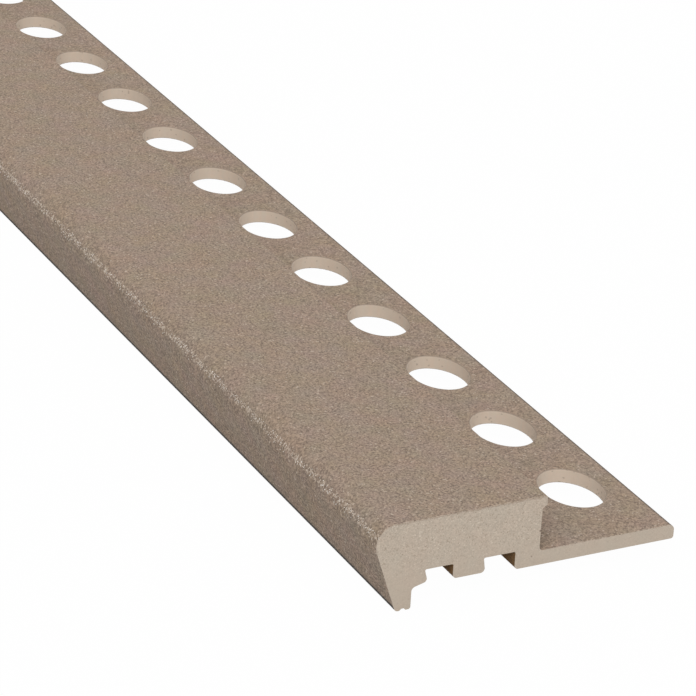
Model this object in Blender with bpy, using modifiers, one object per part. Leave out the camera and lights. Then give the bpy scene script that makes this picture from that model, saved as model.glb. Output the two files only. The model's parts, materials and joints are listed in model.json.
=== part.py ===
"""Stair nosing for tiled steps: one solid length of extruded profile with a row of anchoring holes.

Units are metres, +Z is up. The length runs along X, the nose faces -Y and the flange runs back to +Y.
The origin is on the underside of the flange, on the line of the holes, at the middle of the length.
"""

import math

import bmesh
import bpy
from mathutils import Euler, Vector

MM = 0.001

# Stock length and the row of anchoring holes
LENGTH = 1000 * MM
HOLE_LENGTH = 15.5 * MM  # the holes are oval, longer along the strip
HOLE_WIDTH = 11.5 * MM
HOLE_PITCH = 26 * MM
HOLE_END_MARGIN = 15 * MM  # least distance from a hole's centre to an end
HOLE_SIDES = 32

# Flange that lies in the adhesive bed under the tile
FLANGE_THICKNESS = 2.8 * MM
ROW_TO_REAR_EDGE = 10.4 * MM
ROW_TO_WALL = 17.4 * MM
REAR_TOP_ROUND = 1.1 * MM
REAR_BOTTOM_ROUND = 0.5 * MM
WALL_FILLET = 0.8 * MM

# Tread block and the small lip that covers the edge of the tile joint
TREAD_HEIGHT = 13.5 * MM
TREAD_DEPTH = 32.5 * MM
LIP_OVERHANG = 0.9 * MM
LIP_FACE = 1.7 * MM
LIP_SLANT = 0.6 * MM
LIP_ROUND = 0.25 * MM
NOSE_RADIUS = 3.8 * MM
FRONT_LEAN = math.radians(19)

# Keyed grooves under the tread block, with one rib between them
GROOVE_CEILING = 3.55 * MM
GROOVE_ROUND = 0.3 * MM
BLOCK_SEAT_DEPTH = 4.8 * MM  # width of the bedding face under the tread block, up to the rear groove
BLOCK_SEAT_ROUND = 0.8 * MM
REAR_GROOVE_WIDTH = 6.3 * MM
RIB_WIDTH = 6.0 * MM
RIB_LIFT = 0.65 * MM  # the rib stops this far above the bedding face
RIB_FLARE = 0.45 * MM  # how much wider the rib's foot is towards the rear groove
RIB_ROUND = 0.8 * MM
FRONT_GROOVE_WIDTH = 5.6 * MM
NUB_REACH = 0.65 * MM  # how far the nub reaches into the front groove's mouth
NUB_LIFT = 1.15 * MM
NUB_ROUND = 0.7 * MM

# Front leg that hangs over the riser
LEG_DROP = 3.7 * MM
LEG_BACK = 25.1 * MM  # from the wall to the leg's back face
LEDGE_LIFT = 0.35 * MM
LEDGE_FILLET = 0.9 * MM
LEG_HEEL_ROUND = 0.45 * MM
LEG_TOE_ROUND = 0.8 * MM
SOLE_GROOVE_DEPTH = 0.35 * MM
SOLE_GROOVE_WIDTH = 1.2 * MM
SOLE_GROOVE_FROM_HEEL = 0.95 * MM
SOLE_GROOVE_ROUND = 0.15 * MM

ARC_STEP = math.radians(14)  # widest turn of one facet in a rounded corner
CUT_OVERSHOOT = 1 * MM

PART_COLOR = (0.33, 0.26, 0.20, 1.0)
PART_ROUGHNESS = 0.85


def clear_scene():
    for old in list(bpy.data.objects):
        bpy.data.objects.remove(old)


def new_collection(name):
    collection = bpy.data.collections.new(name)
    bpy.context.scene.collection.children.link(collection)
    return collection


def rounded_corner(before, corner, after, radius):
    """Points of the arc that rounds one corner of an outline, or the corner itself where it is sharp."""
    to_before = (before - corner).normalized()
    to_after = (after - corner).normalized()
    half_angle = to_before.angle(to_after) / 2
    reach = radius / math.tan(half_angle)
    centre = corner + (to_before + to_after).normalized() * (radius / math.sin(half_angle))
    start = corner + to_before * reach - centre
    turn = math.pi - 2 * half_angle
    if to_before.x * to_after.y - to_before.y * to_after.x > 0:
        turn = -turn
    steps = max(2, math.ceil(abs(turn) / ARC_STEP))
    points = []
    for step in range(steps + 1):
        angle = turn * step / steps
        c, s = math.cos(angle), math.sin(angle)
        points.append(centre + Vector((start.x * c - start.y * s, start.x * s + start.y * c)))
    return points


def section_corners():
    """Corners of the section as (y, z, rounding radius), from the flange's rear underside, round by the rear."""
    wall_y = -ROW_TO_WALL
    lip_y = wall_y + LIP_OVERHANG
    lip_root_z = TREAD_HEIGHT - LIP_FACE - LIP_SLANT

    # The leaning front face is tangent to the nose radius, which ends at the foremost point of the tread.
    nose_centre_y = wall_y - TREAD_DEPTH + NOSE_RADIUS
    nose_corner_y = nose_centre_y - NOSE_RADIUS / math.tan((math.pi / 2 - FRONT_LEAN) / 2)
    toe_y = nose_corner_y + math.tan(FRONT_LEAN) * (TREAD_HEIGHT + LEG_DROP)
    sole_z = -LEG_DROP

    heel_y = wall_y - LEG_BACK
    sole_groove_rear = heel_y - SOLE_GROOVE_FROM_HEEL
    sole_groove_front = sole_groove_rear - SOLE_GROOVE_WIDTH
    sole_groove_z = sole_z + SOLE_GROOVE_DEPTH

    rear_groove_y = wall_y - BLOCK_SEAT_DEPTH
    rib_rear_y = rear_groove_y - REAR_GROOVE_WIDTH
    rib_front_y = rib_rear_y - RIB_WIDTH
    nub_root_y = rib_front_y - FRONT_GROOVE_WIDTH

    return [
        (ROW_TO_REAR_EDGE, 0.0, REAR_BOTTOM_ROUND),
        (ROW_TO_REAR_EDGE, FLANGE_THICKNESS, REAR_TOP_ROUND),
        (wall_y, FLANGE_THICKNESS, WALL_FILLET),
        (wall_y, lip_root_z, LIP_ROUND),
        (lip_y, lip_root_z + LIP_SLANT, LIP_ROUND),
        (lip_y, TREAD_HEIGHT, LIP_ROUND),
        (nose_corner_y, TREAD_HEIGHT, NOSE_RADIUS),
        (toe_y, sole_z, LEG_TOE_ROUND),
        (sole_groove_front, sole_z, SOLE_GROOVE_ROUND),
        (sole_groove_front + SOLE_GROOVE_DEPTH, sole_groove_z, SOLE_GROOVE_ROUND),
        (sole_groove_rear - SOLE_GROOVE_DEPTH, sole_groove_z, SOLE_GROOVE_ROUND),
        (sole_groove_rear, sole_z, SOLE_GROOVE_ROUND),
        (heel_y, sole_z, LEG_HEEL_ROUND),
        (heel_y, LEDGE_LIFT, LEDGE_FILLET),
        (nub_root_y + NUB_REACH, NUB_LIFT, NUB_ROUND),
        (nub_root_y, GROOVE_CEILING, GROOVE_ROUND),
        (rib_front_y, GROOVE_CEILING, GROOVE_ROUND),
        (rib_front_y, RIB_LIFT, RIB_ROUND),
        (rib_rear_y + RIB_FLARE, RIB_LIFT, RIB_ROUND),
        (rib_rear_y, GROOVE_CEILING, GROOVE_ROUND),
        (rear_groove_y, GROOVE_CEILING, GROOVE_ROUND),
        (rear_groove_y, 0.0, BLOCK_SEAT_ROUND),
    ]


def section_outline():
    corners = section_corners()
    points = []
    for index, (y, z, radius) in enumerate(corners):
        before = Vector(corners[index - 1][:2])
        after = Vector(corners[(index + 1) % len(corners)][:2])
        points.extend(rounded_corner(before, Vector((y, z)), after, radius))
    return points


def extruded_profile(name, outline, length, collection):
    """A flat outline, drawn as (y, z), extruded along X and made a closed mesh."""
    curve = bpy.data.curves.new(name + "_outline", "CURVE")
    curve.dimensions = "2D"
    curve.fill_mode = "BOTH"
    curve.extrude = length / 2
    spline = curve.splines.new("POLY")
    spline.points.add(len(outline) - 1)
    for point, (y, z) in zip(spline.points, outline):
        point.co = (y, z, 0.0, 1.0)
    spline.use_cyclic_u = True

    drawing = bpy.data.objects.new(name + "_outline", curve)
    drawing.rotation_euler = Euler((math.pi / 2, 0.0, math.pi / 2))
    collection.objects.link(drawing)
    bpy.context.view_layer.update()
    evaluated = drawing.evaluated_get(bpy.context.evaluated_depsgraph_get())
    mesh = bpy.data.meshes.new_from_object(evaluated)
    placement = drawing.matrix_world.copy()
    bpy.data.objects.remove(drawing)

    bm = bmesh.new()
    bm.from_mesh(mesh)
    bmesh.ops.remove_doubles(bm, verts=bm.verts, dist=1e-6)
    bmesh.ops.recalc_face_normals(bm, faces=bm.faces)
    bm.to_mesh(mesh)
    bm.free()
    mesh.transform(placement)
    mesh.name = name
    profile = bpy.data.objects.new(name, mesh)
    collection.objects.link(profile)
    return profile


def hole_row_cutter(collection):
    """One row of oval plugs, as many as the length holds, centred on the length."""
    count = math.floor((LENGTH - 2 * HOLE_END_MARGIN) / HOLE_PITCH) + 1
    bm = bmesh.new()
    bmesh.ops.create_cone(
        bm,
        cap_ends=True,
        segments=HOLE_SIDES,
        radius1=HOLE_WIDTH / 2,
        radius2=HOLE_WIDTH / 2,
        depth=FLANGE_THICKNESS + 2 * CUT_OVERSHOOT,
    )
    bmesh.ops.scale(bm, vec=(HOLE_LENGTH / HOLE_WIDTH, 1.0, 1.0), verts=bm.verts)
    mesh = bpy.data.meshes.new("hole_row_cutter")
    bm.to_mesh(mesh)
    bm.free()
    cutter = bpy.data.objects.new("hole_row_cutter", mesh)
    cutter.location = (-(count - 1) * HOLE_PITCH / 2, 0.0, FLANGE_THICKNESS / 2)
    cutter.hide_render = True
    cutter.display_type = "WIRE"
    row = cutter.modifiers.new("hole_row", "ARRAY")
    row.count = count
    row.use_relative_offset = False
    row.use_constant_offset = True
    row.constant_offset_displace = (HOLE_PITCH, 0.0, 0.0)
    collection.objects.link(cutter)
    return cutter


def composite_material():
    material = bpy.data.materials.new("sanded_composite")
    material.use_nodes = True
    shader = material.node_tree.nodes["Principled BSDF"]
    shader.inputs["Base Color"].default_value = PART_COLOR
    shader.inputs["Roughness"].default_value = PART_ROUGHNESS
    shader.inputs["Metallic"].default_value = 0.0
    return material


def build_nosing():
    parts = new_collection("stair_nosing")
    cutters = new_collection("cutters")
    profile = extruded_profile("nosing_profile", section_outline(), LENGTH, parts)
    cut = profile.modifiers.new("anchoring_holes", "BOOLEAN")
    cut.operation = "DIFFERENCE"
    cut.solver = "EXACT"
    cut.object = hole_row_cutter(cutters)
    profile.data.materials.append(composite_material())
    profile.data.shade_smooth()
    profile.data.set_sharp_from_angle(angle=math.radians(30))
    return profile


clear_scene()
build_nosing()
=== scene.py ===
"""Looks of the stair nosing: the extruded strip with its sanded skin, sawn ends and punched holes.

Lengths are in metres, +Z is up. The strip lies along X, its nose faces -Y and its flange runs back to +Y.
"""

import json
import math

import bmesh
import bpy
from mathutils import Euler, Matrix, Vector


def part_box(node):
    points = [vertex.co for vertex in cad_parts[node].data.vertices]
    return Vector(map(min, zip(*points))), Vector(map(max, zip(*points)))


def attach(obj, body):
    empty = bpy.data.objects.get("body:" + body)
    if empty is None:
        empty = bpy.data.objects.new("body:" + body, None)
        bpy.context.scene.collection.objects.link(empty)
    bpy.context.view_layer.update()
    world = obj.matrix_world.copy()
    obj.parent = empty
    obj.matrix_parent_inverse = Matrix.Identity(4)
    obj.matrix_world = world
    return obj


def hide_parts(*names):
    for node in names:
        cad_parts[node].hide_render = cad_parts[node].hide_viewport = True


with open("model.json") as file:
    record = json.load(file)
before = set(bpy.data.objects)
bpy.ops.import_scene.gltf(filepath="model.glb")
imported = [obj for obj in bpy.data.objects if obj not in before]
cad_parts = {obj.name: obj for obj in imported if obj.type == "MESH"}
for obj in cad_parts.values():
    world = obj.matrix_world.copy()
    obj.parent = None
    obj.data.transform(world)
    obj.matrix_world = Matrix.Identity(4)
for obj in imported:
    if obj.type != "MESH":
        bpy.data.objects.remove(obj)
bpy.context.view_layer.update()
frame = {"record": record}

MM = 0.001

# The view of the photograph, from beyond the near end
CAMERA_PLACE = Vector((949.82, -294.01, 284.98)) * MM
CAMERA_TURN = (65.023, -2.898, 63.614)  # degrees
CAMERA_LENS = 175.86

# Roundings and small shapes of the section, as extruded
REAR_TOP_ROUND = 1.1 * MM
REAR_BOTTOM_ROUND = 0.5 * MM
WALL_FILLET = 0.8 * MM
LIP_OVERHANG = 0.9 * MM
LIP_FACE = 1.7 * MM
LIP_SLANT = 0.6 * MM
LIP_ROUND = 0.25 * MM
NOSE_RADIUS = 3.8 * MM
FRONT_LEAN = math.radians(19)

# Keyed grooves and the rib between them
GROOVE_CEILING = 3.55 * MM
GROOVE_ROUND = 0.3 * MM
BLOCK_SEAT_DEPTH = 4.8 * MM
BLOCK_SEAT_ROUND = 0.8 * MM
REAR_GROOVE_WIDTH = 6.3 * MM
RIB_WIDTH = 6.0 * MM
RIB_LIFT = 0.65 * MM
RIB_FLARE = 0.45 * MM
RIB_ROUND = 0.8 * MM
FRONT_GROOVE_WIDTH = 5.6 * MM
NUB_REACH = 0.65 * MM
NUB_LIFT = 1.15 * MM
NUB_ROUND = 0.7 * MM
GROOVE_MOUTH = 0.3 * MM  # where the grooves' walls begin, above the bedding face

# Front leg
LEDGE_LIFT = 0.35 * MM
LEDGE_FILLET = 0.9 * MM
LEG_HEEL_ROUND = 0.45 * MM
LEG_TOE_ROUND = 0.8 * MM
SOLE_GROOVE_DEPTH = 0.35 * MM
SOLE_GROOVE_WIDTH = 1.2 * MM
SOLE_GROOVE_FROM_HEEL = 0.95 * MM
SOLE_GROOVE_ROUND = 0.15 * MM

ARC_FACETS = 8
SHARP_ANGLE = math.radians(40)  # above the widest turn between two facets of a hole's rim
WELD_DISTANCE = 1e-7

# How far past a side's own line its faces are still picked for a finish
SIDE_MARGIN = 0.5 * MM
CEILING_MARGIN = 0.1 * MM

# Punched holes, oval along the strip
HOLE_LENGTH = 15.5 * MM
HOLE_WIDTH = 11.5 * MM
HOLE_SIDES = 72
RIM_ROUND = 0.14 * MM
RIM_FACETS = 3
PUNCH_OVERSHOOT = 1 * MM

# Whitish grit laid bare along the nose
GRIT_COUNT_PER_MM2 = 8.6
GRIT_RADIUS = 0.15 * MM
GRIT_SINK = 0.45
GRIT_CLUSTER_SIZE = 3.0 * MM
GRIT_LEAST_SLOPE = math.radians(55)  # of the nose's surface, from level
GRIT_MOST_SLOPE = math.radians(75)
GRIT_CLOUD_SCALE = 6000.0  # spots a metre, over the grains
GRIT_SEED = 11

# Zones of the skin. The pale band and the front are measured down from the tread.
BAND_MIDDLE = 2.2 * MM
BAND_CORE = 0.35 * MM  # full strength this far from its middle
BAND_EDGE = 0.8 * MM
FRONT_START = 3.0 * MM
FRONT_FULL = 4.0 * MM
FRONT_REACH = 6.5 * MM  # how far back from the nose the front goes
TOE_LINE_FULL = 0.98 * MM  # painted shade line at the foot of the front, above the sole
TOE_LINE_END = 1.38 * MM
REAR_LINE_START = 1.05 * MM  # painted shade line on the rounding of the flange's rear edge, in from that edge
REAR_LINE_FULL = 0.85 * MM
REAR_LINE_FADE = 0.3 * MM
REAR_LINE_END = 0.2 * MM
CHIP_REACH = 0.40 * MM  # how much the chips of the skin at the sawn ends vary in depth
FRAY_REACH = 0.35 * MM  # the same for the skin drawn over the sawn face
EDGE_SHIFT = 0.05 * MM  # both start this far outside the edge

# Grains of the skin: their sizes, and how far each kind makes the tone swing
SAND_SIZE = 0.29 * MM
SAND_SWING = 0.22
FINES_SIZE = 0.17 * MM
FINES_SWING = 0.36
PACKING_SIZE = 0.50 * MM
PACKING_SWING = 0.165
HOLLOW_SIZE = 0.52 * MM
HOLLOW_SHADE = 0.32
FRONT_CONTRAST = 1.4
SKIN_RELIEF = 0.045 * MM

# Slow patches of the skin's colour
ROSY_PATCH = 7 * MM
SANDY_PATCH = 6 * MM
SANDY_PLACE = (0.31, 0.17, 0.23)  # keeps these patches apart from the rosy ones

# Sawn ends. The saw leaves them smoother near the sole, and grainy higher up.
CUT_SPECK_SIZE = 0.21 * MM
CUT_PORE_SIZE = 0.7 * MM
CUT_PATCH = 5 * MM
CUT_RELIEF = 0.02 * MM
SAW_MARK_SIZE = 0.9 * MM
SAW_MARK_STRETCH = (1.0, 1.0, 0.12)
CUT_SMOOTH_TO = 1.0 * MM
CUT_COARSE_FROM = 7.0 * MM
PORES_FADE_FROM = 0.9 * MM  # below the tread
PORES_END = 0.6 * MM

# Walls of the holes
WALL_SPECK_SIZE = 0.35 * MM
WALL_STREAK_SIZE = 1.2 * MM
WALL_STREAK_STRETCH = (1.0, 1.0, 0.1)
WALL_RELIEF = 0.02 * MM
RIM_DARK_FROM = 0.16 * MM  # darker band at the rims, from this far in from the flange's faces
RIM_DARK_FULL = 0.06 * MM

# Skin as it left the die, on the bedding side
DRAG_SIZE = 0.8 * MM
DRAG_STRETCH = (0.06, 1.0, 1.0)
DRAG_RELIEF = 0.05 * MM
DIE_SPECK_SIZE = 0.4 * MM

# Light and surroundings
KEY_TOWARDS = (0.58, -0.38, 0.80)
KEY_STRENGTH = 1.45
KEY_SOFTNESS = 35  # degrees
ROOM_STRENGTH = 0.67
FLOOR_SIZE = 12.0
FLOOR_WHITENESS = 0.985  # the rest keeps the faint shadow

# Linear colours
SKIN_COLOR = (0.314, 0.235, 0.176)
SKIN_PALE = (0.50, 0.405, 0.318)
SKIN_DARK = (0.150, 0.109, 0.079)
SKIN_ROSY = (1.038, 0.990, 1.0)
SKIN_GREENISH = (0.962, 1.013, 1.0)
SKIN_SANDY = (1.0, 1.0, 0.94)
SKIN_GREYISH = (1.0, 1.0, 1.055)
# Painted shade: the colour of the dark lines on the flange's rounded rear edge and at the toe
EDGE_SHADE_COLOR = (0.030, 0.026, 0.022)
GRIT_PALE = (0.86, 0.82, 0.76)
CUT_COLOR = (0.500, 0.412, 0.330)
CUT_COOL = (0.486, 0.416, 0.336)
CUT_PALE = (0.66, 0.58, 0.48)
CUT_DARK = (0.30, 0.23, 0.17)
# Painted light: the holes' walls take the sawn body's colour made paler, against the shade inside the holes
WALL_LIT_COLOR = (0.71, 0.575, 0.46)
WALL_LIT_COOL = (0.685, 0.58, 0.475)
RIM_COLOR = (0.21, 0.155, 0.115)
PORE_COLOR = (0.17, 0.12, 0.09)
BEDDING_COLOR = (0.250, 0.184, 0.136)
BEDDING_PALE = (0.36, 0.28, 0.215)
BEDDING_DARK = (0.12, 0.084, 0.058)
# Painted shade: the inside of the grooves is coloured dark brown for the shade that falls in them
GROOVE_SHADE_COLOR = (0.150, 0.075, 0.022)
GROOVE_SHADE_PALE = (0.24, 0.14, 0.055)
GROOVE_SHADE_DARK = (0.04, 0.024, 0.012)

# Painted shade round the nose, evening out the key light's sheen over the rounding and darkening its turn to
# the front: how much darker the skin is painted there, as (depth below the tread, tone)
NOSE_SHADE_TONES = (
    (0.0, 1.0),
    (0.25 * MM, 0.97),
    (0.8 * MM, 0.95),
    (1.25 * MM, 0.90),
    (1.8 * MM, 0.85),
    (2.6 * MM, 0.79),
    (3.4 * MM, 0.82),
    (3.8 * MM, 0.85),
    (4.4 * MM, 0.90),
    (5.1 * MM, 0.93),
)


def box_of_strip():
    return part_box("nosing_profile")


def mount_place(name):
    for mount in frame["record"]["mounts"]:
        if mount["name"] == name:
            return Vector(mount["pos_m"])
    raise KeyError(name)


def hole_row():
    """Centre of the first hole along X, the pitch and the number of holes, from the stated openings."""
    stated = {}
    for opening in frame["record"]["physics"]["openings"]:
        name, _, number = opening["name"].rpartition("_")
        if name == "anchoring_hole":
            low, high = opening["box_m"]
            stated[int(number)] = (low[0] + high[0]) / 2
    first, last = min(stated), max(stated)
    pitch = (stated[last] - stated[first]) / (last - first)
    return stated[first], pitch, last


# Node trees

def add_node(tree, kind, inputs=None, **settings):
    """Adds one node. An input takes a plain value, or another node's output, which is linked to it."""
    made = tree.nodes.new(kind)
    for name, value in settings.items():
        setattr(made, name, value)
    for key, value in (inputs or {}).items():
        if isinstance(value, bpy.types.NodeSocket):
            tree.links.new(value, made.inputs[key])
        else:
            made.inputs[key].default_value = value
    return made


def maths(tree, operation, *values):
    made = add_node(tree, "ShaderNodeMath", dict(enumerate(values)), operation=operation)
    return made.outputs[0]


def ramp(tree, value, start, end, low=0.0, high=1.0):
    """Maps value from the range start to end onto the range low to high, and keeps it inside."""
    inputs = {"Value": value, "From Min": start, "From Max": end, "To Min": low, "To Max": high}
    made = add_node(tree, "ShaderNodeMapRange", inputs, clamp=True)
    return made.outputs["Result"]


def all_of(tree, *masks):
    found = masks[0]
    for mask in masks[1:]:
        found = maths(tree, "MULTIPLY", found, mask)
    return found


def any_of(tree, *masks):
    found = masks[0]
    for mask in masks[1:]:
        found = maths(tree, "MAXIMUM", found, mask)
    return found


def graded(tree, value, stops):
    """Follows (value, tone) stops in straight lines, and puts the tone out as a grey colour."""
    start, end = stops[0][0], stops[-1][0]
    made = add_node(tree, "ShaderNodeValToRGB", {"Fac": ramp(tree, value, start, end)})
    elements = made.color_ramp.elements
    for place, _ in stops[1:-1]:
        elements.new((place - start) / (end - start))
    for element, (_, tone) in zip(elements, stops):
        element.color = (tone, tone, tone, 1.0)
    return made.outputs["Color"]


def grey_color(tree, tone):
    made = add_node(tree, "ShaderNodeCombineColor", {"Red": tone, "Green": tone, "Blue": tone})
    return made.outputs["Color"]


def mix_colors(tree, factor, first, second, blend="MIX"):
    made = add_node(tree, "ShaderNodeMix", data_type="RGBA", blend_type=blend)
    for index, value in ((0, factor), (6, first), (7, second)):
        if isinstance(value, bpy.types.NodeSocket):
            tree.links.new(value, made.inputs[index])
        elif index == 0:
            made.inputs[index].default_value = value
        else:
            made.inputs[index].default_value = (*value, 1.0)
    return made.outputs[2]


def new_group(name, kind, inputs, outputs):
    """A node group with named sockets, given as (name, socket type, default) and (name, socket type)."""
    tree = bpy.data.node_groups.new(name, kind)
    for label, socket, default in inputs:
        made = tree.interface.new_socket(label, in_out="INPUT", socket_type=socket)
        if default is not None:
            made.default_value = default
    for label, socket in outputs:
        tree.interface.new_socket(label, in_out="OUTPUT", socket_type=socket)
    return tree, tree.nodes.new("NodeGroupInput"), tree.nodes.new("NodeGroupOutput")


def use_group(tree, group, inputs):
    return add_node(tree, "ShaderNodeGroup", inputs, node_tree=group)


def axes_of(tree, vector):
    return add_node(tree, "ShaderNodeSeparateXYZ", {"Vector": vector}).outputs


def tinted(tree, color, tint):
    return mix_colors(tree, 1.0, color, tint, "MULTIPLY")


def mixed_in(tree, color, other, mask, share):
    """Mixes another colour in by a share, where a mask is 1."""
    return mix_colors(tree, maths(tree, "MULTIPLY", mask, share), color, other)


def swing(tree, tone, width):
    """Turns a tone from 0 to 1 into a change about zero, of the given full width."""
    return maths(tree, "MULTIPLY", maths(tree, "SUBTRACT", tone, 0.5), width)


# Shader groups that the finishes share

def grain_group():
    """Packed grains of one size: a random tone for each, masks for the pale and dark ones, and a height."""
    tree, given, result = new_group(
        "packed_grains",
        "ShaderNodeTree",
        [
            ("Vector", "NodeSocketVector", None),
            ("Grain Size", "NodeSocketFloat", 0.0004),
            ("Pale Share", "NodeSocketFloat", 0.05),
            ("Dark Share", "NodeSocketFloat", 0.05),
        ],
        [
            ("Tone", "NodeSocketFloat"),
            ("Pale", "NodeSocketFloat"),
            ("Dark", "NodeSocketFloat"),
            ("Height", "NodeSocketFloat"),
        ],
    )
    density = maths(tree, "DIVIDE", 1.0, given.outputs["Grain Size"])
    cells = add_node(
        tree,
        "ShaderNodeTexVoronoi",
        {"Vector": given.outputs["Vector"], "Scale": density, "Randomness": 1.0},
    )
    chance = add_node(tree, "ShaderNodeSeparateColor", {"Color": cells.outputs["Color"]})
    pale_from = maths(tree, "SUBTRACT", 1.0, given.outputs["Pale Share"])
    pale = maths(tree, "GREATER_THAN", chance.outputs["Green"], pale_from)
    dark = maths(tree, "LESS_THAN", chance.outputs["Green"], given.outputs["Dark Share"])
    dome = ramp(tree, cells.outputs["Distance"], 0.0, 0.75, 1.0, 0.0)
    size = ramp(tree, chance.outputs["Blue"], 0.0, 1.0, 0.35, 1.0)
    height = maths(tree, "MULTIPLY", dome, size)
    tree.links.new(chance.outputs["Red"], result.inputs["Tone"])
    tree.links.new(pale, result.inputs["Pale"])
    tree.links.new(dark, result.inputs["Dark"])
    tree.links.new(height, result.inputs["Height"])
    return tree


def drift_group():
    """Slow, soft change from place to place, from 0 to 1."""
    tree, given, result = new_group(
        "slow_drift",
        "ShaderNodeTree",
        [("Vector", "NodeSocketVector", None), ("Patch Size", "NodeSocketFloat", 0.02)],
        [("Drift", "NodeSocketFloat")],
    )
    density = maths(tree, "DIVIDE", 1.0, given.outputs["Patch Size"])
    noise = add_node(
        tree,
        "ShaderNodeTexNoise",
        {"Vector": given.outputs["Vector"], "Scale": density, "Detail": 3.0, "Roughness": 0.55},
    )
    drift = ramp(tree, noise.outputs["Fac"], 0.3, 0.7)
    tree.links.new(drift, result.inputs["Drift"])
    return tree


def grains_of(tree, grains, place, size, pale=0.05, dark=0.05):
    """Grains of one size, with the shares of pale and dark ones."""
    inputs = {"Vector": place, "Grain Size": size, "Pale Share": pale, "Dark Share": dark}
    return use_group(tree, grains, inputs).outputs


def drift_of(tree, drift, place, patch, **mapping):
    """Slow change in patches of one size, which a Mapping node's Scale can draw out or its Location move."""
    if mapping:
        place = add_node(tree, "ShaderNodeMapping", {"Vector": place, **mapping}).outputs["Vector"]
    return use_group(tree, drift, {"Vector": place, "Patch Size": patch}).outputs["Drift"]


def new_finish(name):
    """An empty material with its Principled shader, and the place on the strip as a vector."""
    material = bpy.data.materials.new(name)
    material.use_nodes = True
    tree = material.node_tree
    shader = tree.nodes["Principled BSDF"]
    place = add_node(tree, "ShaderNodeTexCoord").outputs["Object"]
    return material, tree, shader, place


def bump(tree, height, depth):
    made = add_node(tree, "ShaderNodeBump", {"Strength": 1.0, "Distance": depth, "Height": height})
    return made.outputs["Normal"]


def sanded_skin(grains, drift):
    """The tread, nose, front and flange: fine sand bound in the surface, with bare grit along the nose."""
    material, tree, shader, place = new_finish("sanded_skin")
    low, high = box_of_strip()
    axes = axes_of(tree, place)
    up = axes["Z"]
    back = axes["Y"]
    out = maths(tree, "ABSOLUTE", axes["X"])

    in_nose = maths(tree, "LESS_THAN", back, low.y + NOSE_RADIUS)
    in_front = maths(tree, "LESS_THAN", back, low.y + FRONT_REACH)
    off_band = maths(tree, "ABSOLUTE", maths(tree, "SUBTRACT", up, high.z - BAND_MIDDLE))
    band = all_of(tree, in_nose, ramp(tree, off_band, BAND_CORE, BAND_EDGE, 1.0, 0.0))
    front = all_of(tree, in_front, ramp(tree, up, high.z - FRONT_FULL, high.z - FRONT_START, 1.0, 0.0))
    # Painted shade lines: on the rounding of the flange's rear edge, and at the foot of the front
    rear_rise = ramp(tree, back, high.y - REAR_LINE_START, high.y - REAR_LINE_FULL, 0.0, 0.6)
    rear_fall = ramp(tree, back, high.y - REAR_LINE_FADE, high.y - REAR_LINE_END, 1.0, 0.0)
    rear_shade_line = all_of(tree, rear_rise, rear_fall)
    toe_fall = ramp(tree, up, low.z + TOE_LINE_FULL, low.z + TOE_LINE_END, 0.97, 0.0)
    toe_shade_line = all_of(tree, in_front, toe_fall)

    pale_share = ramp(tree, band, 0.0, 1.0, 0.02, 0.34)
    dark_share = ramp(tree, band, 0.0, 1.0, 0.12, 0.18)
    sand = grains_of(tree, grains, place, SAND_SIZE, pale_share, dark_share)
    fines = grains_of(tree, grains, place, FINES_SIZE)
    hollows = grains_of(tree, grains, place, HOLLOW_SIZE)
    pit = ramp(tree, hollows["Height"], 0.45, 0.85)
    packing = add_node(
        tree,
        "ShaderNodeTexNoise",
        {"Vector": place, "Scale": 1 / PACKING_SIZE, "Detail": 1.0},
    )
    packing_tone = ramp(tree, packing.outputs["Fac"], 0.38, 0.62, -PACKING_SWING, PACKING_SWING)
    rosy = drift_of(tree, drift, place, ROSY_PATCH)
    sandy = drift_of(tree, drift, place, SANDY_PATCH, Location=SANDY_PLACE)

    hue = mix_colors(tree, rosy, SKIN_ROSY, SKIN_GREENISH)
    hue = tinted(tree, hue, mix_colors(tree, sandy, SKIN_SANDY, SKIN_GREYISH))
    color = tinted(tree, SKIN_COLOR, hue)
    sand_tone = swing(tree, sand["Tone"], SAND_SWING)
    fine_tone = swing(tree, fines["Tone"], FINES_SWING)
    grain_tone = maths(tree, "ADD", maths(tree, "ADD", sand_tone, fine_tone), packing_tone)
    grain_tone = maths(tree, "SUBTRACT", grain_tone, maths(tree, "MULTIPLY", pit, HOLLOW_SHADE))
    contrast = ramp(tree, front, 0.0, 1.0, 1.0, FRONT_CONTRAST)
    tone = maths(tree, "MULTIPLY_ADD", grain_tone, contrast, 1.0)
    color = tinted(tree, color, grey_color(tree, tone))
    # Painted shade round the nose, by the depth below the tread
    depth = maths(tree, "MULTIPLY", in_front, maths(tree, "SUBTRACT", high.z, up))
    color = tinted(tree, color, graded(tree, depth, NOSE_SHADE_TONES))
    color = mixed_in(tree, color, SKIN_PALE, sand["Pale"], 0.7)
    color = mixed_in(tree, color, SKIN_DARK, sand["Dark"], 0.65)
    color = mix_colors(tree, any_of(tree, rear_shade_line, toe_shade_line), color, EDGE_SHADE_COLOR)
    chip_from = maths(tree, "MULTIPLY_ADD", sand["Tone"], -CHIP_REACH, high.x + EDGE_SHIFT)
    chipped = maths(tree, "GREATER_THAN", out, chip_from)
    color = mixed_in(tree, color, CUT_COLOR, chipped, 0.6)
    tree.links.new(color, shader.inputs["Base Color"])

    roughness = ramp(tree, sand["Pale"], 0.0, 1.0, 0.92, 0.6)
    tree.links.new(roughness, shader.inputs["Roughness"])
    height = maths(tree, "ADD", sand["Height"], maths(tree, "MULTIPLY", fines["Height"], 0.4))
    height = maths(tree, "SUBTRACT", height, pit)
    tree.links.new(bump(tree, height, SKIN_RELIEF), shader.inputs["Normal"])
    return material


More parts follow.
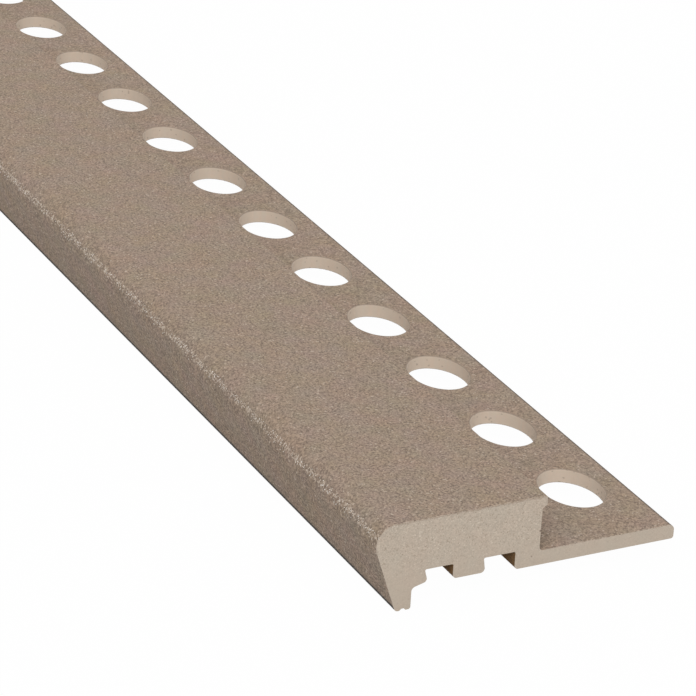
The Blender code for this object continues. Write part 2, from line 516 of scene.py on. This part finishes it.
def sawn_face(grains, drift):
    """The sawn ends: the pale body of the composite, with specks, faint saw marks and a few pin pores."""
    material, tree, shader, place = new_finish("sawn_face")
    _, high = box_of_strip()
    up = axes_of(tree, place)["Z"]
    specks = grains_of(tree, grains, place, CUT_SPECK_SIZE, pale=0.03, dark=0.07)
    pores = grains_of(tree, grains, place, CUT_PORE_SIZE, pale=0.0, dark=0.005)
    patches = drift_of(tree, drift, place, CUT_PATCH)
    saw_marks = drift_of(tree, drift, place, SAW_MARK_SIZE, Scale=SAW_MARK_STRETCH)

    coarse = ramp(tree, up, CUT_SMOOTH_TO, CUT_COARSE_FROM, 0.30, 1.0)
    color = mix_colors(tree, patches, CUT_COLOR, CUT_COOL)
    fine_tone = maths(tree, "ADD", swing(tree, specks["Tone"], 0.22), swing(tree, saw_marks, 0.05))
    tone = maths(tree, "MULTIPLY_ADD", fine_tone, coarse, 1.0)
    color = tinted(tree, color, grey_color(tree, tone))
    pale = maths(tree, "MULTIPLY", maths(tree, "MULTIPLY", specks["Pale"], 0.6), coarse)
    color = mix_colors(tree, pale, color, CUT_PALE)
    dark = maths(tree, "MULTIPLY", maths(tree, "MULTIPLY", specks["Dark"], 0.5), coarse)
    color = mix_colors(tree, dark, color, CUT_DARK)
    pore = maths(tree, "MULTIPLY", pores["Dark"], ramp(tree, pores["Height"], 0.42, 0.55))
    below_skin = ramp(tree, up, high.z - PORES_FADE_FROM, high.z - PORES_END, 0.8, 0.0)
    pore = maths(tree, "MULTIPLY", pore, below_skin)
    color = mix_colors(tree, pore, color, PORE_COLOR)
    fray_from = maths(tree, "MULTIPLY_ADD", specks["Tone"], -FRAY_REACH, high.z + EDGE_SHIFT)
    frayed = maths(tree, "GREATER_THAN", up, fray_from)
    color = mixed_in(tree, color, SKIN_COLOR, frayed, 0.7)
    tree.links.new(color, shader.inputs["Base Color"])
    shader.inputs["Roughness"].default_value = 0.9

    height = maths(tree, "MULTIPLY", specks["Height"], 0.5)
    height = maths(tree, "ADD", height, maths(tree, "MULTIPLY", saw_marks, 0.5))
    height = maths(tree, "SUBTRACT", height, maths(tree, "MULTIPLY", pore, 2.0))
    tree.links.new(bump(tree, height, CUT_RELIEF), shader.inputs["Normal"])
    return material


def punched_wall(grains, drift):
    """The walls of the holes: the body's colour painted paler, as painted light against the shade inside the
    holes, smeared by the punch, and darker at the rims towards the flange's faces.
    """
    material, tree, shader, place = new_finish("punched_wall")
    half_thickness = mount_place("flange_top").z / 2
    up = axes_of(tree, place)["Z"]
    off_middle = maths(tree, "ABSOLUTE", maths(tree, "SUBTRACT", up, half_thickness))
    specks = grains_of(tree, grains, place, WALL_SPECK_SIZE, pale=0.02, dark=0.02)
    streaks = drift_of(tree, drift, place, WALL_STREAK_SIZE, Scale=WALL_STREAK_STRETCH)
    # Painted light: paler than the sawn body, against the shade in the holes
    color = mix_colors(tree, streaks, WALL_LIT_COLOR, WALL_LIT_COOL)
    color = mixed_in(tree, color, CUT_PALE, specks["Pale"], 0.5)
    color = mixed_in(tree, color, CUT_DARK, specks["Dark"], 0.4)
    # Darker towards both faces of the flange, at the rims
    rim_band_from = half_thickness - RIM_DARK_FROM
    rim_darkening = ramp(tree, off_middle, rim_band_from, half_thickness - RIM_DARK_FULL, 0.0, 0.8)
    color = mix_colors(tree, rim_darkening, color, RIM_COLOR)
    tree.links.new(color, shader.inputs["Base Color"])
    shader.inputs["Roughness"].default_value = 0.82
    tree.links.new(bump(tree, streaks, WALL_RELIEF), shader.inputs["Normal"])
    return material


def die_drawn_skin(name, grains, drift, base, pale, dark):
    """Dull skin with drag lines along the strip, in the colours given: the bedding side's own skin as it left
    the die, or the painted shade inside the grooves.
    """
    material, tree, shader, place = new_finish(name)
    drag = drift_of(tree, drift, place, DRAG_SIZE, Scale=DRAG_STRETCH)
    specks = grains_of(tree, grains, place, DIE_SPECK_SIZE, pale=0.06, dark=0.08)
    color = mixed_in(tree, base, pale, drag, 0.45)
    color = mixed_in(tree, color, pale, specks["Pale"], 0.6)
    color = mixed_in(tree, color, dark, specks["Dark"], 0.6)
    tree.links.new(color, shader.inputs["Base Color"])
    shader.inputs["Roughness"].default_value = 0.88
    height = maths(tree, "ADD", drag, maths(tree, "MULTIPLY", specks["Height"], 0.4))
    tree.links.new(bump(tree, height, DRAG_RELIEF), shader.inputs["Normal"])
    return material


def bare_grit():
    """Quartz-like grains at the nose, each with its own tone from sand to nearly white."""
    material, tree, shader, place = new_finish("bare_grit")
    tone = add_node(tree, "ShaderNodeAttribute", attribute_name="grain_tone").outputs["Fac"]
    color = mix_colors(tree, ramp(tree, tone, 0.15, 0.75), SKIN_COLOR, GRIT_PALE)
    color = mix_colors(tree, ramp(tree, tone, 0.0, 0.2, 0.6, 0.0), color, SKIN_DARK)
    noise = add_node(tree, "ShaderNodeTexNoise", {"Vector": place, "Scale": GRIT_CLOUD_SCALE, "Detail": 1.0})
    cloud = noise.outputs["Fac"]
    color = mix_colors(tree, ramp(tree, cloud, 0.4, 0.7, 0.0, 0.3), color, SKIN_COLOR)
    tree.links.new(color, shader.inputs["Base Color"])
    tree.links.new(ramp(tree, cloud, 0.3, 0.7, 0.35, 0.7), shader.inputs["Roughness"])
    return material


# The strip

def section_corners():
    """Corners of the section as (y, z, rounding), from the flange's rear underside and round by its rear."""
    low, high = box_of_strip()
    wall_y = mount_place("tile_stop").y
    flange_top = mount_place("flange_top").z
    heel_y = mount_place("leg_back").y
    lip_root_z = high.z - LIP_FACE - LIP_SLANT
    nose_corner_y = low.y + NOSE_RADIUS - NOSE_RADIUS / math.tan((math.pi / 2 - FRONT_LEAN) / 2)
    toe_y = nose_corner_y + math.tan(FRONT_LEAN) * (high.z - low.z)
    sole_rear = heel_y - SOLE_GROOVE_FROM_HEEL
    sole_front = sole_rear - SOLE_GROOVE_WIDTH
    sole_top = low.z + SOLE_GROOVE_DEPTH
    seat_y = wall_y - BLOCK_SEAT_DEPTH
    rib_rear = seat_y - REAR_GROOVE_WIDTH
    rib_front = rib_rear - RIB_WIDTH
    nub_root = rib_front - FRONT_GROOVE_WIDTH
    return [
        (high.y, 0.0, REAR_BOTTOM_ROUND),
        (high.y, flange_top, REAR_TOP_ROUND),
        (wall_y, flange_top, WALL_FILLET),
        (wall_y, lip_root_z, LIP_ROUND),
        (wall_y + LIP_OVERHANG, lip_root_z + LIP_SLANT, LIP_ROUND),
        (wall_y + LIP_OVERHANG, high.z, LIP_ROUND),
        (nose_corner_y, high.z, NOSE_RADIUS),
        (toe_y, low.z, LEG_TOE_ROUND),
        (sole_front, low.z, SOLE_GROOVE_ROUND),
        (sole_front + SOLE_GROOVE_DEPTH, sole_top, SOLE_GROOVE_ROUND),
        (sole_rear - SOLE_GROOVE_DEPTH, sole_top, SOLE_GROOVE_ROUND),
        (sole_rear, low.z, SOLE_GROOVE_ROUND),
        (heel_y, low.z, LEG_HEEL_ROUND),
        (heel_y, LEDGE_LIFT, LEDGE_FILLET),
        (nub_root + NUB_REACH, NUB_LIFT, NUB_ROUND),
        (nub_root, GROOVE_CEILING, GROOVE_ROUND),
        (rib_front, GROOVE_CEILING, GROOVE_ROUND),
        (rib_front, RIB_LIFT, RIB_ROUND),
        (rib_rear + RIB_FLARE, RIB_LIFT, RIB_ROUND),
        (rib_rear, GROOVE_CEILING, GROOVE_ROUND),
        (seat_y, GROOVE_CEILING, GROOVE_ROUND),
        (seat_y, 0.0, BLOCK_SEAT_ROUND),
    ]


def section_drawing():
    """The section's corners as a closed loop of edges in a flat drawing, each with its rounding."""
    corners = section_corners()
    mesh = bpy.data.meshes.new("section_drawing")
    points = [(y, z, 0.0) for y, z, _ in corners]
    edges = [(index, (index + 1) % len(points)) for index in range(len(points))]
    mesh.from_pydata(points, edges, [])
    rounding = mesh.attributes.new("rounding", "FLOAT", "POINT")
    rounding.data.foreach_set("value", [radius for _, _, radius in corners])
    drawing = bpy.data.objects.new("section_drawing", mesh)
    bpy.context.scene.collection.objects.link(drawing)
    return drawing


def punch_tool(wall_finish, thickness):
    """The oval plug that a punch takes out, flared at both faces so that the rims come out rounded."""
    radius = HOLE_WIDTH / 2
    profile = [(0.0, -PUNCH_OVERSHOOT), (radius + RIM_ROUND, -PUNCH_OVERSHOOT)]
    for step in range(RIM_FACETS + 1):
        turn = math.pi / 2 * step / RIM_FACETS
        profile.append((radius + RIM_ROUND * (1 - math.sin(turn)), RIM_ROUND * (1 - math.cos(turn))))
    upper = [(r, thickness - z) for r, z in reversed(profile)]
    bm = bmesh.new()
    line = [bm.verts.new((r, 0.0, z)) for r, z in profile + upper]
    edges = [bm.edges.new(pair) for pair in zip(line, line[1:])]
    bmesh.ops.spin(
        bm,
        geom=line + edges,
        axis=(0, 0, 1),
        cent=(0, 0, 0),
        angle=math.tau,
        steps=HOLE_SIDES,
        use_duplicate=False,
    )
    bmesh.ops.remove_doubles(bm, verts=bm.verts, dist=WELD_DISTANCE)
    bmesh.ops.scale(bm, vec=(HOLE_LENGTH / HOLE_WIDTH, 1.0, 1.0), verts=bm.verts)
    bmesh.ops.recalc_face_normals(bm, faces=bm.faces)
    mesh = bpy.data.meshes.new("punch_tool")
    bm.to_mesh(mesh)
    bm.free()
    mesh.materials.append(wall_finish)
    tool = bpy.data.objects.new("punch_tool", mesh)
    bpy.context.scene.collection.objects.link(tool)
    return tool


def blank_tree():
    """Drawing to blank: rounds the corners, extrudes the section and gives each side its finish."""
    tree, given, result = new_group(
        "extruded_blank",
        "GeometryNodeTree",
        [
            ("Geometry", "NodeSocketGeometry", None),
            ("Length", "NodeSocketFloat", 1.0),
            ("Arc Facets", "NodeSocketInt", 8),
            ("Leg Back", "NodeSocketFloat", 0.0),
            ("Groove Rear", "NodeSocketFloat", 0.0),
            ("Groove Mouth", "NodeSocketFloat", 0.0),
            ("Groove Ceiling", "NodeSocketFloat", 0.0),
            ("Skin", "NodeSocketMaterial", None),
            ("Ends", "NodeSocketMaterial", None),
            ("Bedding", "NodeSocketMaterial", None),
            ("Grooves", "NodeSocketMaterial", None),
        ],
        [("Geometry", "NodeSocketGeometry")],
    )
    length = given.outputs["Length"]
    outline = add_node(tree, "GeometryNodeMeshToCurve", {"Mesh": given.outputs["Geometry"]})
    rounding = add_node(tree, "GeometryNodeInputNamedAttribute", {"Name": "rounding"}, data_type="FLOAT")
    rounded = add_node(
        tree,
        "GeometryNodeFilletCurve",
        {
            "Curve": outline.outputs["Curve"],
            "Count": given.outputs["Arc Facets"],
            "Radius": rounding.outputs["Attribute"],
        },
        mode="POLY",
    )
    section = add_node(tree, "GeometryNodeFillCurve", {"Curve": rounded.outputs["Curve"]}, mode="NGONS")
    reach = add_node(tree, "ShaderNodeCombineXYZ", {"Z": length})
    drawn_out = add_node(
        tree,
        "GeometryNodeExtrudeMesh",
        {
            "Mesh": section.outputs["Mesh"],
            "Offset": reach.outputs["Vector"],
            "Offset Scale": 1.0,
            "Individual": False,
        },
        mode="FACES",
    )
    start_face = add_node(tree, "GeometryNodeFlipFaces", {"Mesh": section.outputs["Mesh"]})
    shell = add_node(tree, "GeometryNodeJoinGeometry")
    tree.links.new(drawn_out.outputs["Mesh"], shell.inputs["Geometry"])
    tree.links.new(start_face.outputs["Mesh"], shell.inputs["Geometry"])
    closed = add_node(
        tree,
        "GeometryNodeMergeByDistance",
        {"Geometry": shell.outputs["Geometry"], "Distance": WELD_DISTANCE},
    )
    half_back = maths(tree, "MULTIPLY", length, -0.5)
    start = add_node(tree, "ShaderNodeCombineXYZ", {"X": half_back})
    laid = add_node(
        tree,
        "GeometryNodeTransform",
        {
            "Geometry": closed.outputs["Geometry"],
            "Translation": start.outputs["Vector"],
            "Rotation": (math.pi / 2, 0.0, math.pi / 2),
        },
    )
    realized = add_node(tree, "GeometryNodeRealizeInstances", {"Geometry": laid.outputs["Geometry"]})

    normal = axes_of(tree, add_node(tree, "GeometryNodeInputNormal").outputs[0])
    centre = axes_of(tree, add_node(tree, "GeometryNodeInputPosition").outputs[0])
    up = centre["Z"]
    back = centre["Y"]
    ceiling = given.outputs["Groove Ceiling"]
    leg_line = maths(tree, "SUBTRACT", given.outputs["Leg Back"], SIDE_MARGIN)
    seat_line = maths(tree, "ADD", given.outputs["Groove Rear"], SIDE_MARGIN)
    is_end = maths(tree, "GREATER_THAN", maths(tree, "ABSOLUTE", normal["X"]), 0.9)
    faces_down = maths(tree, "LESS_THAN", normal["Z"], -0.8)
    low_down = maths(tree, "LESS_THAN", up, maths(tree, "ADD", ceiling, CEILING_MARGIN))
    behind_leg = maths(tree, "GREATER_THAN", back, leg_line)
    before_seat = maths(tree, "LESS_THAN", back, seat_line)
    below_seat = maths(tree, "LESS_THAN", up, 0.0)
    leg_inside = all_of(tree, below_seat, behind_leg)
    is_bedding = all_of(tree, low_down, any_of(tree, faces_down, leg_inside))
    is_ceiling = maths(tree, "GREATER_THAN", up, maths(tree, "SUBTRACT", ceiling, SIDE_MARGIN))
    above_mouth = maths(tree, "GREATER_THAN", up, given.outputs["Groove Mouth"])
    is_wall = all_of(tree, above_mouth, maths(tree, "SUBTRACT", 1.0, faces_down))
    # Walls and ceilings inside the grooves, which take the grooves' painted shade
    is_groove = all_of(tree, low_down, behind_leg, before_seat, any_of(tree, is_wall, is_ceiling))
    in_skin = add_node(
        tree,
        "GeometryNodeSetMaterial",
        {"Geometry": realized.outputs["Geometry"], "Material": given.outputs["Skin"]},
    )
    finished = in_skin
    for chosen, label in ((is_bedding, "Bedding"), (is_groove, "Grooves"), (is_end, "Ends")):
        finished = add_node(
            tree,
            "GeometryNodeSetMaterial",
            {"Geometry": finished.outputs["Geometry"], "Selection": chosen, "Material": given.outputs[label]},
        )
    tree.links.new(finished.outputs["Geometry"], result.inputs["Geometry"])
    return tree


def punch_tree():
    """Blank to strip: punches the row of holes with one realized row of plugs."""
    tree, given, result = new_group(
        "punched_row",
        "GeometryNodeTree",
        [
            ("Geometry", "NodeSocketGeometry", None),
            ("Punch", "NodeSocketObject", None),
            ("First Hole", "NodeSocketFloat", 0.0),
            ("Hole Pitch", "NodeSocketFloat", 0.02),
            ("Hole Count", "NodeSocketInt", 1),
        ],
        [("Geometry", "NodeSocketGeometry")],
    )
    first = add_node(tree, "ShaderNodeCombineXYZ", {"X": given.outputs["First Hole"]})
    step = add_node(tree, "ShaderNodeCombineXYZ", {"X": given.outputs["Hole Pitch"]})
    centres = add_node(
        tree,
        "GeometryNodeMeshLine",
        {
            "Count": given.outputs["Hole Count"],
            "Start Location": first.outputs["Vector"],
            "Offset": step.outputs["Vector"],
        },
        mode="OFFSET",
    )
    punch = add_node(tree, "GeometryNodeObjectInfo", {"Object": given.outputs["Punch"]})
    punches = add_node(
        tree,
        "GeometryNodeInstanceOnPoints",
        {"Points": centres.outputs["Mesh"], "Instance": punch.outputs["Geometry"]},
    )
    waste = add_node(tree, "GeometryNodeRealizeInstances", {"Geometry": punches.outputs["Instances"]})
    punched = add_node(
        tree,
        "GeometryNodeMeshBoolean",
        {"Mesh 1": given.outputs["Geometry"], "Mesh 2": waste.outputs["Geometry"]},
        operation="DIFFERENCE",
        solver="EXACT",
    )
    realized = add_node(tree, "GeometryNodeRealizeInstances", {"Geometry": punched.outputs["Mesh"]})
    tree.links.new(realized.outputs["Geometry"], result.inputs["Geometry"])
    return tree


def random_number(tree, seed, draw):
    """A random number from 0 to 1. The draw keeps it apart from the tree's other random values."""
    inputs = {"Seed": maths(tree, "ADD", seed, draw)}
    return add_node(tree, "FunctionNodeRandomValue", inputs, data_type="FLOAT").outputs[1]


def random_vector(tree, seed, draw, least, most):
    inputs = {0: least, 1: most, "Seed": maths(tree, "ADD", seed, draw)}
    return add_node(tree, "FunctionNodeRandomValue", inputs, data_type="FLOAT_VECTOR").outputs[0]


def grit_tree():
    """Scatters grains over the turned-down part of the nose, in loose clusters, half sunk in its surface."""
    tree, given, result = new_group(
        "nose_grit",
        "GeometryNodeTree",
        [
            ("Geometry", "NodeSocketGeometry", None),
            ("Count Per Area", "NodeSocketFloat", 1.0),
            ("Grain Radius", "NodeSocketFloat", 0.0002),
            ("Sink", "NodeSocketFloat", 0.5),
            ("Cluster Size", "NodeSocketFloat", 0.003),
            ("Least Upward", "NodeSocketFloat", 0.3),
            ("Most Upward", "NodeSocketFloat", 0.8),
            ("Seed", "NodeSocketInt", 1),
            ("Finish", "NodeSocketMaterial", None),
        ],
        [("Geometry", "NodeSocketGeometry")],
    )
    seed = given.outputs["Seed"]
    radius = given.outputs["Grain Radius"]
    normal = axes_of(tree, add_node(tree, "GeometryNodeInputNormal").outputs[0])
    forward = maths(tree, "LESS_THAN", normal["Y"], -0.5)
    high_side = maths(tree, "LESS_THAN", normal["Z"], given.outputs["Most Upward"])
    low_side = maths(tree, "GREATER_THAN", normal["Z"], given.outputs["Least Upward"])
    on_nose = all_of(tree, forward, high_side, low_side)
    spots = add_node(
        tree,
        "GeometryNodeDistributePointsOnFaces",
        {
            "Mesh": given.outputs["Geometry"],
            "Selection": on_nose,
            "Density": given.outputs["Count Per Area"],
            "Seed": seed,
        },
        distribute_method="RANDOM",
    )

    place = add_node(tree, "GeometryNodeInputPosition").outputs[0]
    density = maths(tree, "DIVIDE", 1.0, given.outputs["Cluster Size"])
    clusters = add_node(tree, "ShaderNodeTexNoise", {"Vector": place, "Scale": density, "Detail": 2.0})
    keep = ramp(tree, clusters.outputs[0], 0.38, 0.62, 0.25, 1.0)
    dropped = maths(tree, "GREATER_THAN", random_number(tree, seed, 1.0), keep)
    kept = add_node(
        tree,
        "GeometryNodeDeleteGeometry",
        {"Geometry": spots.outputs["Points"], "Selection": dropped},
        domain="POINT",
    )
    depth = maths(tree, "MULTIPLY", maths(tree, "MULTIPLY", radius, given.outputs["Sink"]), -1.0)
    inward = add_node(
        tree,
        "ShaderNodeVectorMath",
        {0: spots.outputs["Normal"], "Scale": depth},
        operation="SCALE",
    )
    sunk = add_node(
        tree,
        "GeometryNodeSetPosition",
        {"Geometry": kept.outputs["Geometry"], "Offset": inward.outputs["Vector"]},
    )

    grain = add_node(tree, "GeometryNodeMeshIcoSphere", {"Radius": radius, "Subdivisions": 1})
    turn = random_vector(tree, seed, 2.0, (0.0, 0.0, 0.0), (math.tau, math.tau, math.tau))
    stretch = random_vector(tree, seed, 3.0, (0.6, 0.6, 0.5), (1.35, 1.1, 0.9))
    strewn = add_node(
        tree,
        "GeometryNodeInstanceOnPoints",
        {
            "Points": sunk.outputs["Geometry"],
            "Instance": grain.outputs["Mesh"],
            "Rotation": turn,
            "Scale": stretch,
        },
    )
    tone = random_number(tree, seed, 4.0)
    toned = add_node(
        tree,
        "GeometryNodeStoreNamedAttribute",
        {"Geometry": strewn.outputs["Instances"], "Name": "grain_tone", "Value": tone},
        data_type="FLOAT",
        domain="INSTANCE",
    )
    realized = add_node(tree, "GeometryNodeRealizeInstances", {"Geometry": toned.outputs["Geometry"]})
    finished = add_node(
        tree,
        "GeometryNodeSetMaterial",
        {"Geometry": realized.outputs["Geometry"], "Material": given.outputs["Finish"]},
    )
    tree.links.new(finished.outputs["Geometry"], result.inputs["Geometry"])
    return tree


def run_tree(holder, tree, values, name):
    """Runs a geometry tree on an object with named inputs, and returns the result as a plain mesh object."""
    modifier = holder.modifiers.new(name, "NODES")
    modifier.node_group = tree
    for item in tree.interface.items_tree:
        if item.in_out == "INPUT" and item.name in values:
            modifier[item.identifier] = values[item.name]
    bpy.context.view_layer.update()
    evaluated = holder.evaluated_get(bpy.context.evaluated_depsgraph_get())
    mesh = bpy.data.meshes.new_from_object(evaluated)
    mesh.name = name
    holder.modifiers.remove(modifier)
    made = bpy.data.objects.new(name, mesh)
    bpy.context.scene.collection.objects.link(made)
    return made


def shade_rounds(piece):
    piece.data.shade_smooth()
    piece.data.set_sharp_from_angle(angle=SHARP_ANGLE)


def build_blank(finishes):
    """The extruded length before its holes are punched."""
    low, high = box_of_strip()
    drawing = section_drawing()
    blank = run_tree(
        drawing,
        blank_tree(),
        {
            "Length": high.x - low.x,
            "Arc Facets": ARC_FACETS,
            "Leg Back": mount_place("leg_back").y,
            "Groove Rear": mount_place("tile_stop").y - BLOCK_SEAT_DEPTH,
            "Groove Mouth": GROOVE_MOUTH,
            "Groove Ceiling": GROOVE_CEILING,
            "Skin": finishes["skin"],
            "Ends": finishes["ends"],
            "Bedding": finishes["bedding"],
            "Grooves": finishes["grooves"],
        },
        "blank",
    )
    bpy.data.objects.remove(drawing)
    shade_rounds(blank)
    return blank


def build_strip(blank, wall_finish):
    first, pitch, count = hole_row()
    tool = punch_tool(wall_finish, mount_place("flange_top").z)
    strip = run_tree(
        blank,
        punch_tree(),
        {"Punch": tool, "First Hole": first, "Hole Pitch": pitch, "Hole Count": count},
        "nosing_strip",
    )
    bpy.data.objects.remove(tool)
    shade_rounds(strip)
    return strip


def build_grit(blank, finish):
    """The grains along the nose, as one piece, strewn on the blank, whose faces keep their order each run."""
    grit = run_tree(
        blank,
        grit_tree(),
        {
            "Count Per Area": GRIT_COUNT_PER_MM2 / MM**2,
            "Grain Radius": GRIT_RADIUS,
            "Sink": GRIT_SINK,
            "Cluster Size": GRIT_CLUSTER_SIZE,
            "Least Upward": math.cos(GRIT_MOST_SLOPE),
            "Most Upward": math.cos(GRIT_LEAST_SLOPE),
            "Seed": GRIT_SEED,
            "Finish": finish,
        },
        "nose_grit",
    )
    grit.data.shade_flat()
    return grit


def keep_faces_flat(strip):
    weigh = strip.modifiers.new("flat_faces_stay_flat", "WEIGHTED_NORMAL")
    weigh.keep_sharp = True
    weigh.weight = 100


# Surroundings

def seen_as_background(tree):
    """1 where the camera sees it, straight, in a mirror or through glass, and 0 for light on the object."""
    rays = add_node(tree, "ShaderNodeLightPath").outputs
    return any_of(tree, rays["Is Camera Ray"], rays["Is Glossy Ray"], rays["Is Transmission Ray"])


def pale_floor():
    """A level floor under the foot. It shows white to the camera and keeps a faint shadow."""
    low, _ = box_of_strip()
    bpy.ops.mesh.primitive_plane_add(size=FLOOR_SIZE, location=(0.0, 0.0, low.z))
    floor = bpy.context.active_object
    floor.name = "floor"
    material = bpy.data.materials.new("white_floor")
    material.use_nodes = True
    tree = material.node_tree
    tree.nodes.remove(tree.nodes["Principled BSDF"])
    seen = seen_as_background(tree)
    matte = add_node(tree, "ShaderNodeBsdfDiffuse", {"Color": (0.70, 0.70, 0.70, 1.0)})
    white = add_node(tree, "ShaderNodeEmission", {"Color": (1.0, 1.0, 1.0, 1.0), "Strength": 1.0})
    share = maths(tree, "MULTIPLY", seen, FLOOR_WHITENESS)
    mixed = add_node(tree, "ShaderNodeMixShader", {0: share, 1: matte.outputs[0], 2: white.outputs[0]})
    tree.links.new(mixed.outputs[0], tree.nodes["Material Output"].inputs["Surface"])
    floor.data.materials.append(material)


def white_world():
    """Even light from all round; the camera sees plain white."""
    world = bpy.data.worlds.new("studio")
    bpy.context.scene.world = world
    world.use_nodes = True
    tree = world.node_tree
    tree.nodes.clear()
    strength = ramp(tree, seen_as_background(tree), 0.0, 1.0, ROOM_STRENGTH, 1.0)
    light = add_node(tree, "ShaderNodeBackground", {"Color": (1.0, 1.0, 1.0, 1.0), "Strength": strength})
    output = add_node(tree, "ShaderNodeOutputWorld")
    tree.links.new(light.outputs[0], output.inputs["Surface"])


def soft_sun(name, towards_light, strength, angle):
    lamp = bpy.data.lights.new(name, "SUN")
    lamp.energy = strength
    lamp.angle = math.radians(angle)
    sun = bpy.data.objects.new(name, lamp)
    sun.rotation_euler = Vector(towards_light).to_track_quat("Z", "Y").to_euler()
    bpy.context.scene.collection.objects.link(sun)


def photo_camera():
    camera = bpy.data.cameras.new("photo_view")
    camera.sensor_width = 36.0
    camera.lens = CAMERA_LENS
    camera.clip_start = 0.01
    camera.clip_end = 50.0
    holder = bpy.data.objects.new("photo_view", camera)
    holder.location = CAMERA_PLACE
    holder.rotation_euler = Euler([math.radians(angle) for angle in CAMERA_TURN])
    bpy.context.scene.collection.objects.link(holder)
    bpy.context.scene.camera = holder


grains = grain_group()
drift = drift_group()
finishes = {
    "skin": sanded_skin(grains, drift),
    "ends": sawn_face(grains, drift),
    "wall": punched_wall(grains, drift),
    "bedding": die_drawn_skin("bedding_skin", grains, drift, BEDDING_COLOR, BEDDING_PALE, BEDDING_DARK),
    # The grooves' finish is painted shade, dark brown for the shade inside them
    "grooves": die_drawn_skin("groove_shade_skin", grains, drift, GROOVE_SHADE_COLOR, GROOVE_SHADE_PALE, GROOVE_SHADE_DARK),
}
blank = build_blank(finishes)
strip = build_strip(blank, finishes["wall"])
grit = build_grit(blank, bare_grit())
bpy.data.objects.remove(blank)
keep_faces_flat(strip)
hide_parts("nosing_profile")
for piece in (strip, grit):
    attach(piece, "root")

pale_floor()
white_world()
soft_sun("key", KEY_TOWARDS, KEY_STRENGTH, KEY_SOFTNESS)
photo_camera()

bpy.context.scene.view_settings.view_transform = "Standard"
